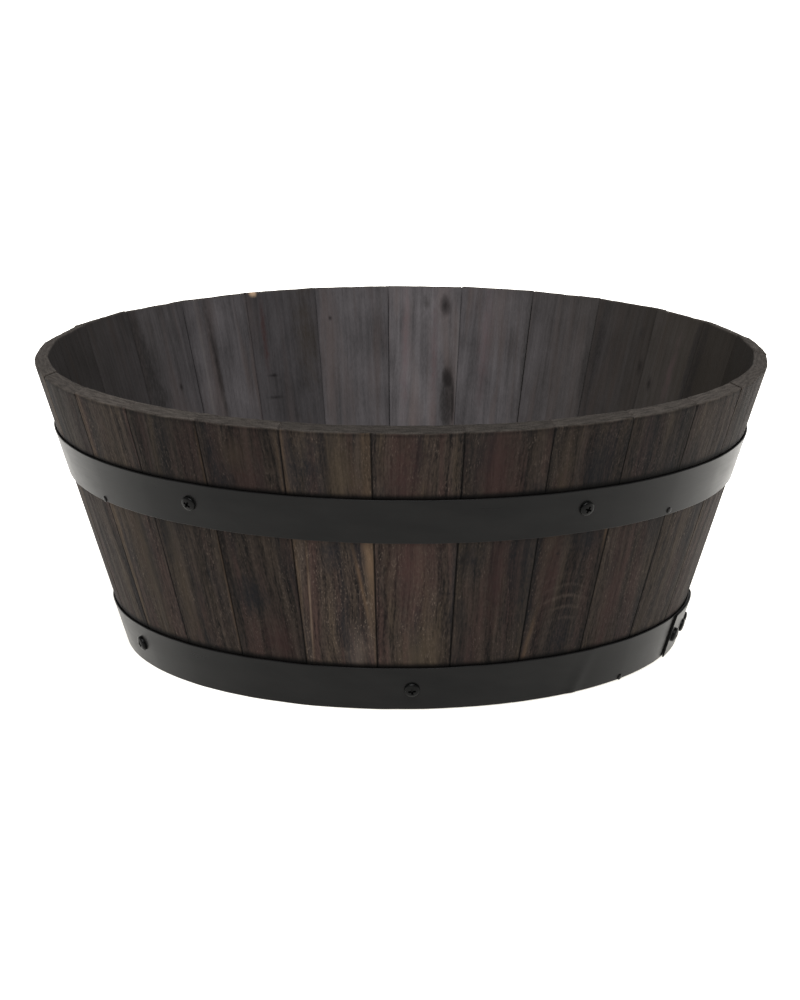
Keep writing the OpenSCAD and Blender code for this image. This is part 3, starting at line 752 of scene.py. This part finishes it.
def hoopTree():
    size = hoopSizes
    tree, m = newTree("barrel hoop")
    pins = m.inputs({
        "Foot Radius": footRadius, "Lean": tub["lean"], "Pitch": pitch, "Front Seam": tub["frontSeam"],
        "Lower Edge": 0.0, "Free End": 0.0, "Lap": 0.25, "Height": size["height"],
        "Thickness": size["thickness"], "Play": size["play"], "Lap Gap": size["lapGap"],
        "Lap Ramp": size["lapRamp"], "Lip": size["lip"], "Lip Height": size["lipHeight"],
        "Flare": size["flare"], "Dent": size["dent"], "Edge Round": size["edgeRound"],
        "Bulge": size["bulge"], "Round Over": size["roundOver"], "Crease": 0.0,
        "Crease At": size["creaseAt"], "Tilt": 0.0, "Material": None,
    })
    flats = tub["staves"] + 4                   # enough for a whole turn, the overlap and cut ends
    rows, layers = (4, 10, 4), (3, 3)
    strip = m.block((flats * size["columns"],), rows, layers)
    u, v, w = m.split(m.step("GeometryNodeInputPosition"))
    u, v, w = u + 0.5, v + 0.5, w + 0.5         # round, up and out
    freeEnd, flat = pins["Free End"], pins["Pitch"]
    lastEnd = freeEnd + 2 * math.pi + pins["Lap"]

    # columns of points sit on the bends
    firstSeam = pins["Front Seam"] + m.maths("FLOOR", (freeEnd - pins["Front Seam"]) / flat) * flat
    azimuth = m.maths("MINIMUM", m.maths("MAXIMUM", firstSeam + u * flats * flat, freeEnd), lastEnd)
    fromEnd = azimuth - freeEnd
    offFlat = m.maths("FLOORED_MODULO", azimuth - pins["Front Seam"], flat) - flat / 2

    edge = 0.9 * mm
    up = m.spread(v, rows, (edge, pins["Height"] - 2 * edge, edge))
    out = m.spread(w, layers, (pins["Thickness"] / 2, pins["Thickness"] / 2))
    point = m.rounded(m.vector(0.0, up, out), m.vector(-1.0, 0.0, 0.0),
                      m.vector(1.0, pins["Height"], pins["Thickness"]), pins["Edge Round"])
    nothing, up, out = m.split(point)

    # how far the strip stands off the wood: overlap, lip, free end, dents and crease
    lapEnd = pins["Lap"] + 0.005                # radians, a little past the strip's end
    lapLift = m.ramp(fromEnd, lapEnd, lapEnd + pins["Lap Ramp"], 1.0, 0.0, smooth=True)
    lip = m.ramp(up, pins["Height"] - pins["Lip Height"], pins["Height"])
    nearEnd = m.ramp(fromEnd, 0.0, size["flareReach"], 1.0, 0.0)
    wave = m.noise(m.vector(azimuth * 4, up * 25, out), pins["Lower Edge"] * 50, detail=2.0)
    stand = pins["Play"] + (pins["Thickness"] + pins["Lap Gap"]) * lapLift
    stand = stand + lip * lip * pins["Lip"] + nearEnd * nearEnd * pins["Flare"]
    stand = stand + m.ramp(wave, 0.3, 0.7) * pins["Dent"]
    creaseAzimuth = pins["Crease At"] + 2 * math.pi + (up / pins["Height"]) * size["creaseSlant"]
    ridge = m.ramp(m.maths("ABSOLUTE", azimuth - creaseAzimuth), 0.0, size["creaseReach"], 1.0, 0.0)
    stand = stand + ridge * pins["Crease"] * m.ramp(up, 0.0, pins["Height"], 1.0, 0.2)
    off = out + stand

    # its height and its distance from the axis
    rippleNoise = m.noise(m.vector(azimuth * 6, 0.0, 0.0), pins["Lower Edge"] * 90)
    ripple = m.ramp(rippleNoise, 0.3, 0.7, 0.0, size["ripple"])
    height = pins["Lower Edge"] + up + ripple + m.maths("COSINE", azimuth) * pins["Tilt"]
    sine, cosine = m.maths("SINE", pins["Lean"]), m.maths("COSINE", pins["Lean"])
    apothem = pins["Foot Radius"] + height * sine / cosine + off * cosine
    straight = apothem / m.maths("COSINE", offFlat)
    radius = straight + (apothem + pins["Round Over"] - straight) * pins["Bulge"]
    strip = m.store(strip, "stripPlace", m.vector(fromEnd * apothem, up, out))
    offGround = m.maths("MAXIMUM", height - off * sine, 0.05 * mm)
    place = m.vector(radius * m.maths("COSINE", azimuth), radius * m.maths("SINE", azimuth), offGround)
    strip = m.step("GeometryNodeSetPosition", geometry=strip, position=place)
    strip = m.step("GeometryNodeMergeByDistance", geometry=strip, distance=2e-6)
    m.finishGeometry(strip, pins["Material"])
    return tree


def makeHoops():
    tree, paint = hoopTree(), hoopPaint()
    for name, (low, freeEnd) in hoopSizes["hoops"].items():
        drop, tilt, crease = hoopSizes["slack"][name]
        hoop = grow(tree, "steel_" + name, {
            "Lower Edge": low - drop, "Free End": math.radians(freeEnd),
            "Lap": lapAngle(hoopSizes["lapLength"], low),
            "Tilt": tilt, "Crease": crease, "Material": paint,
        })
        hand(hoop, "hoop_paint", name)
    print("hoops made:", len(hoopSizes["hoops"]))


makeHoops()

# Paint of the screws, rivets and nails, rubbed in specks
fastenerLooks = {
    "dark": (0.0012, 0.0012, 0.0013, 1),
    "light": (0.003, 0.003, 0.003, 1),
    "rubbed": (0.03, 0.028, 0.026, 1),
    "roughness": (0.2, 0.36),               # least and most
}


def fastenerPaint():
    look = fastenerLooks
    material, m, shader = newMaterial("black fastener paint", Specular_IOR_Level=0.09)
    position = objectMillimetres(m)
    speck = m.noise(position, 4.0, scale=0.8, detail=4.0, roughness=0.7)
    patch = m.noise(position, 9.0, scale=0.25, detail=2.0)
    colour = m.mix(m.ramp(patch, 0.35, 0.65), look["dark"], look["light"])
    colour = m.mix(m.ramp(speck, 0.66, 0.74) * 0.3, colour, look["rubbed"])
    m.plug(shader.inputs["Base Color"], colour)
    m.plug(shader.inputs["Roughness"], m.ramp(speck, 0.3, 0.7, *look["roughness"]))
    addBump(m, shader, speck, 0.05 * mm, 0.5)
    return material


# Fasteners: one tree makes a head with its shank and puts it on every point
fastenerSizes = {
    "screw": {"Head": 10 * mm, "Rise": 2.8 * mm, "Recess": 6.2 * mm, "Slot": 1.6 * mm, "Depth": 2.0 * mm,
              "Shank": 3.6 * mm, "Length": 9 * mm},
    "rivet": {"Head": 9 * mm, "Rise": 2.4 * mm, "Recess": 0.0, "Shank": 4 * mm, "Length": 3.5 * mm},
    "nail": {"Head": 4.2 * mm, "Rise": 1 * mm, "Recess": 0.0, "Shank": 1.8 * mm, "Length": 9 * mm},
    "sink": 0.12 * mm,                      # how far a head's rim beds into the paint
    "nailUp": 2.5 * mm,                     # above its hoop's lower edge
    "lapScrew": 9 * mm,                     # distances from the free end
    "lapRivets": (33 * mm, 50.5 * mm),
    "rowUp": {"upper_hoop": 16.8 * mm, "lower_hoop": 15 * mm},      # screws and rivets above the lower edge
    "screws": {"upper_hoop": (-125.1, -60, 6, 140.6), "lower_hoop": (-152.3, -87.9, 46, 112.6)},
    "nailSeams": {"upper_hoop": (-4, 4, 11, 17), "lower_hoop": (4, 11, 18)},
}


def fastenerTree():
    tree, m = newTree("hoop fastener")
    tree.interface.new_socket("Points", in_out="INPUT", socket_type="NodeSocketGeometry")
    pins = m.inputs({"Head": 9 * mm, "Rise": 2 * mm, "Recess": 0.0, "Slot": mm, "Depth": mm,
                     "Shank": 4 * mm, "Length": 9 * mm, "Material": None})
    points = m.node("NodeGroupInput").outputs["Points"]
    ball = m.node("GeometryNodeMeshUVSphere")
    ball.inputs["Segments"].default_value = 40
    ball.inputs["Rings"].default_value = 22
    x, y, z = m.split(m.step("GeometryNodeInputPosition"))

    # above the middle a dome, below it a short upright wall and a flat seat
    across = m.maths("MAXIMUM", m.maths("SQRT", x * x + y * y), 1e-6)
    wall = 0.3
    widen = m.maths("MINIMUM", across / math.sqrt(1 - wall * wall), 1.0) / across
    upper = m.ramp(z, 0.0, 1e-4)
    grown = upper * m.maths("POWER", across, -0.12) + (1 - upper) * widen
    rise = upper * (0.34 + 0.66 * m.maths("POWER", m.maths("MAXIMUM", z, 0.0), 0.8))
    rise = rise + (1 - upper) * m.ramp(z, -wall, 0.0, 0.0, 0.34)
    radius = pins["Head"] / 2
    dome = m.vector(x * grown * radius, y * grown * radius, rise * pins["Rise"])
    head = m.step("GeometryNodeSetPosition", geometry=ball.outputs["Mesh"], position=dome)

    # two crossed slots, narrower towards their floor
    bar = m.node("GeometryNodeMeshCube")
    fromFloor = z + 0.5
    slotLong = x * pins["Recess"] * (0.6 + fromFloor * 0.4)
    slotWide = y * pins["Slot"] * (0.75 + fromFloor * 0.25)
    slot = m.vector(slotLong, slotWide, z * pins["Depth"] * 2 + pins["Rise"])
    first = m.step("GeometryNodeSetPosition", geometry=bar.outputs["Mesh"], position=slot)
    second = m.step("GeometryNodeTransform", geometry=first, rotation=(0, 0, math.pi / 2))
    cut = m.node("GeometryNodeMeshBoolean", operation="DIFFERENCE", solver="EXACT")
    m.plug(cut.inputs["Mesh 1"], head)
    m.plug(cut.inputs["Mesh 2"], second)
    m.plug(cut.inputs["Mesh 2"], first)
    choose = m.node("GeometryNodeSwitch", input_type="GEOMETRY")
    m.fill(choose, switch=m.maths("GREATER_THAN", pins["Recess"], 0.0), false=head, true=cut.outputs["Mesh"])

    rod = m.node("GeometryNodeMeshCylinder")
    rod.inputs["Vertices"].default_value = 16
    m.fill(rod, radius=pins["Shank"] / 2, depth=pins["Length"])
    shank = m.step("GeometryNodeTransform", geometry=rod.outputs["Mesh"],
                   translation=m.vector(0.0, 0.0, -pins["Length"] / 2))
    whole = m.node("GeometryNodeJoinGeometry")
    m.plug(whole.inputs[0], choose.outputs[0])
    m.plug(whole.inputs[0], shank)

    outward = m.step("GeometryNodeInputNamedAttribute", {"data_type": "FLOAT_VECTOR"}, name="outward")
    turn = m.step("GeometryNodeInputNamedAttribute", {"data_type": "FLOAT"}, name="turn")
    facing = m.step("FunctionNodeAlignRotationToVector", {"axis": "Z"}, vector=outward)
    spin = m.step("FunctionNodeAxisAngleToRotation", axis=(0, 0, 1), angle=turn)
    facing = m.step("FunctionNodeRotateRotation", {"rotation_space": "LOCAL"},
                    rotation=facing, rotate_by=spin)
    placed = m.step("GeometryNodeInstanceOnPoints", points=points, instance=whole.outputs[0],
                    rotation=facing)
    m.finishGeometry(placed, pins["Material"])
    return tree


# Place and facing on a hoop at an azimuth
def hoopSeat(azimuth, z, out):
    centre = staveAzimuth(math.floor((azimuth - tub["frontSeam"]) / pitch) + 1)
    radial = Vector((math.cos(azimuth), math.sin(azimuth), 0))
    outward = radial * leanCos - Vector((0, 0, leanSin))
    straight = outerRadius(z) / math.cos(azimuth - centre)
    reach = straight + (outerRadius(z) + hoopSizes["roundOver"] - straight) * hoopSizes["bulge"]
    return radial * reach + Vector((0, 0, z)) + outward * out, outward


def seatMesh(name, seats):
    mesh = bpy.data.meshes.new(name)
    mesh.from_pydata([place for place, outward in seats], [], [])
    mesh.attributes.new("outward", "FLOAT_VECTOR", "POINT")
    mesh.attributes.new("turn", "FLOAT", "POINT")
    for index, (place, outward) in enumerate(seats):
        mesh.attributes["outward"].data[index].vector = outward
        mesh.attributes["turn"].data[index].value = 0.35 + index * 1.37
    return mesh


def makeFasteners():
    size, strip = fastenerSizes, hoopSizes
    tree, paint = fastenerTree(), fastenerPaint()
    oneLayer = strip["play"] + strip["thickness"] + 0.05 * mm - size["sink"]
    twoLayers = oneLayer + strip["thickness"] + strip["lapGap"]
    for name, (low, freeEnd) in strip["hoops"].items():
        middle = low + size["rowUp"][name]
        start = math.radians(freeEnd)
        screws = [hoopSeat(math.radians(a), middle, oneLayer) for a in size["screws"][name]]
        screws.append(hoopSeat(start + lapAngle(size["lapScrew"], low), middle, twoLayers))
        rivets = [hoopSeat(start + lapAngle(s, low), middle, twoLayers) for s in size["lapRivets"]]
        nails = [hoopSeat(tub["frontSeam"] + s * pitch, low + size["nailUp"], oneLayer)
                 for s in size["nailSeams"][name]]
        side = name.split("_")[0]
        for kind, seats, node in (("screw", screws, side + "_hoop_screws"),
                                  ("rivet", rivets, side + "_lap_rivets"),
                                  ("nail", nails, side + "_hoop_nails")):
            piece = grow(tree, f"{side}_{kind}_heads", dict(size[kind], Material=paint),
                         seatMesh(kind, seats), sharp=30)
            hand(piece, "fastener_paint", node)
    print("fasteners made")


makeFasteners()

# Bottom: boards and battens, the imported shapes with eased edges
bottomLooks = {
    "dark": (0.030, 0.024, 0.020, 1),
    "mid": (0.100, 0.078, 0.060, 1),
    "pale": (0.190, 0.155, 0.125, 1),
    "boardWidth": 75.19,                    # millimetres
    "ease": 0.7 * mm,
}


# Stained bottom wood, its grain along X or along Y
def bottomWood(name, alongX):
    look = bottomLooks
    material, m, shader = newMaterial(name, Specular_IOR_Level=0.22, Roughness=0.78)
    x, y, z = m.split(objectMillimetres(m))
    across, along = (y, x) if alongX else (x, y)
    number = m.maths("FLOOR", across / look["boardWidth"] + 0.5)
    lines = useGroup(m, grain, board=m.vector(across, along, z), seed=number * 4.1 + 20, slant=0.01)
    shade = lines["Fibre"] * 0.5 + lines["Band"] * 0.5
    colour = m.mix(shade, look["dark"], look["mid"])
    colour = m.mix(lines["Fleck"] * 0.4, colour, look["pale"])
    colour = m.mix(m.ramp(lines["Cloud"], 0.4, 1.0) * 0.6, colour, look["dark"])
    m.plug(shader.inputs["Base Color"], colour)
    addBump(m, shader, lines["Fibre"] + lines["Fleck"] * 0.4, 0.16 * mm, 0.7)
    return material


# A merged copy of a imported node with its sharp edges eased
def easedCopy(node, name, ease, material):
    work = bmesh.new()
    work.from_mesh(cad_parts[node].data)
    bmesh.ops.remove_doubles(work, verts=work.verts, dist=1e-6)
    bmesh.ops.dissolve_limit(work, angle_limit=math.radians(1), verts=work.verts, edges=work.edges)
    sharp = [e for e in work.edges if e.is_manifold and e.calc_face_angle() > math.radians(25)]
    bmesh.ops.bevel(work, geom=sharp, offset=ease, segments=2, profile=0.6,
                    affect="EDGES", clamp_overlap=True)
    mesh = bpy.data.meshes.new(name)
    work.to_mesh(mesh)
    work.free()
    mesh.shade_smooth()
    mesh.set_sharp_from_angle(angle=math.radians(35))
    mesh.materials.clear()
    mesh.materials.append(material)
    piece = bpy.data.objects.new(name, mesh)
    bpy.context.scene.collection.objects.link(piece)
    return piece


def makeBottom():
    boardWood = bottomWood("bottom board wood", True)
    battenWood = bottomWood("batten wood", False)
    for number in range(1, 6):
        board = easedCopy(f"head_board_{number}", f"bottom_board_{number}", bottomLooks["ease"], boardWood)
        hand(board, "head_wood", f"head_board_{number}")
    for side in ("left", "right"):
        batten = easedCopy(side + "_batten", side + "_bottom_batten", bottomLooks["ease"], battenWood)
        hand(batten, "head_wood", side + "_batten")
    print("bottom made")


makeBottom()

# Dull zinc on the batten screws
zincLooks = {
    "dark": (0.30, 0.29, 0.27, 1),
    "light": (0.55, 0.54, 0.51, 1),
    "roughness": (0.35, 0.6),               # least and most
}


def zincPlate():
    look = zincLooks
    material, m, shader = newMaterial("dull zinc", Metallic=1.0)
    spangle = m.noise(objectMillimetres(m), 3.0, scale=0.7, detail=3.0)
    colour = m.mix(m.ramp(spangle, 0.35, 0.65), look["dark"], look["light"])
    m.plug(shader.inputs["Base Color"], colour)
    m.plug(shader.inputs["Roughness"], m.ramp(spangle, 0.3, 0.7, *look["roughness"]))
    addBump(m, shader, spangle, 0.03 * mm, 0.4)
    return material


zinc = zincPlate()
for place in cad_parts["batten_screws"].material_slots:
    place.material = zinc

# Studio: pale floor, white surroundings and a large soft light in front, above
studio = {
    "aim": Vector((-0.7 * mm, 0, 91.5 * mm)),
    "distance": 2.25,
    "elevation": math.radians(13.95),
    "roll": math.radians(0.1),
    "lens": 117.3,                          # millimetres, on a 36 mm sensor
    "floor": (0.62, 0.617, 0.61, 1),
    "floorGlow": (0.88, 1.6),               # in front and behind, against shadows and for a bright background
    "glowReach": (-0.1, 0.7),               # metres to the back between the two
    "glowSlant": 0.5,                       # how much a metre to the right counts with them
    "glowTint": (1.0, 0.965, 0.89),
    "darkInset": 8 * mm,                    # no glow under the tub, this far in from its foot
    "floorDrop": 0.2 * mm,                  # below the foot
    "floorReach": 14.0,
    "surroundings": 0.42,
    "keyHeight": math.radians(57),          # above the horizon, in front
    "keySide": 0.0,
    "keySpread": math.radians(44),
    "keyStrength": 3.9,
}


def makeStudio():
    scene = bpy.context.scene
    scene.view_settings.view_transform = "Standard"
    world = bpy.data.worlds.new("studio")
    world.use_nodes = True
    world.node_tree.nodes["Background"].inputs["Color"].default_value = (1, 1, 1, 1)
    world.node_tree.nodes["Background"].inputs["Strength"].default_value = studio["surroundings"]
    scene.world = world

    reach = studio["floorReach"]
    corners = [(-reach, -reach, 0), (reach, -reach, 0), (reach, reach, 0), (-reach, reach, 0)]
    mesh = bpy.data.meshes.new("studio floor")
    mesh.from_pydata(corners, [], [(0, 1, 2, 3)])
    paper, m, shader = newMaterial("studio paper", Roughness=0.9, Specular_IOR_Level=0.1)
    shader.inputs["Base Color"].default_value = studio["floor"]
    x, y, z = m.split(Wire(m, m.node("ShaderNodeTexCoord").outputs["Object"]))
    glow = m.ramp(y + x * studio["glowSlant"], *studio["glowReach"], *studio["floorGlow"], smooth=True)
    fromAxis = m.maths("SQRT", x * x + y * y)
    glow = glow * m.maths("GREATER_THAN", fromAxis, footRadius - studio["darkInset"])
    m.plug(shader.inputs["Emission Color"], m.vectorMaths("SCALE", studio["glowTint"], glow))
    shader.inputs["Emission Strength"].default_value = 1.0
    mesh.materials.append(paper)
    floor = bpy.data.objects.new("studio_floor", mesh)
    floor.location.z = -studio["floorDrop"]
    scene.collection.objects.link(floor)

    key = bpy.data.objects.new("key", bpy.data.lights.new("key", "SUN"))
    key.data.angle = studio["keySpread"]
    key.data.energy = studio["keyStrength"]
    key.rotation_euler = (math.pi / 2 - studio["keyHeight"], 0, studio["keySide"])
    scene.collection.objects.link(key)

    camera = bpy.data.objects.new("camera", bpy.data.cameras.new("camera"))
    camera.data.lens = studio["lens"]
    camera.data.sensor_width = 36
    camera.data.clip_end = 100
    back = Vector((0, -math.cos(studio["elevation"]), math.sin(studio["elevation"])))
    facing = (-back).to_track_quat("-Z", "Y").to_matrix().to_4x4()
    camera.matrix_world = (Matrix.Translation(studio["aim"] + back * studio["distance"]) @ facing
                           @ Matrix.Rotation(studio["roll"], 4, "Z"))
    scene.collection.objects.link(camera)
    scene.camera = camera
    print("studio made")


makeStudio()
bpy.context.view_layer.update()
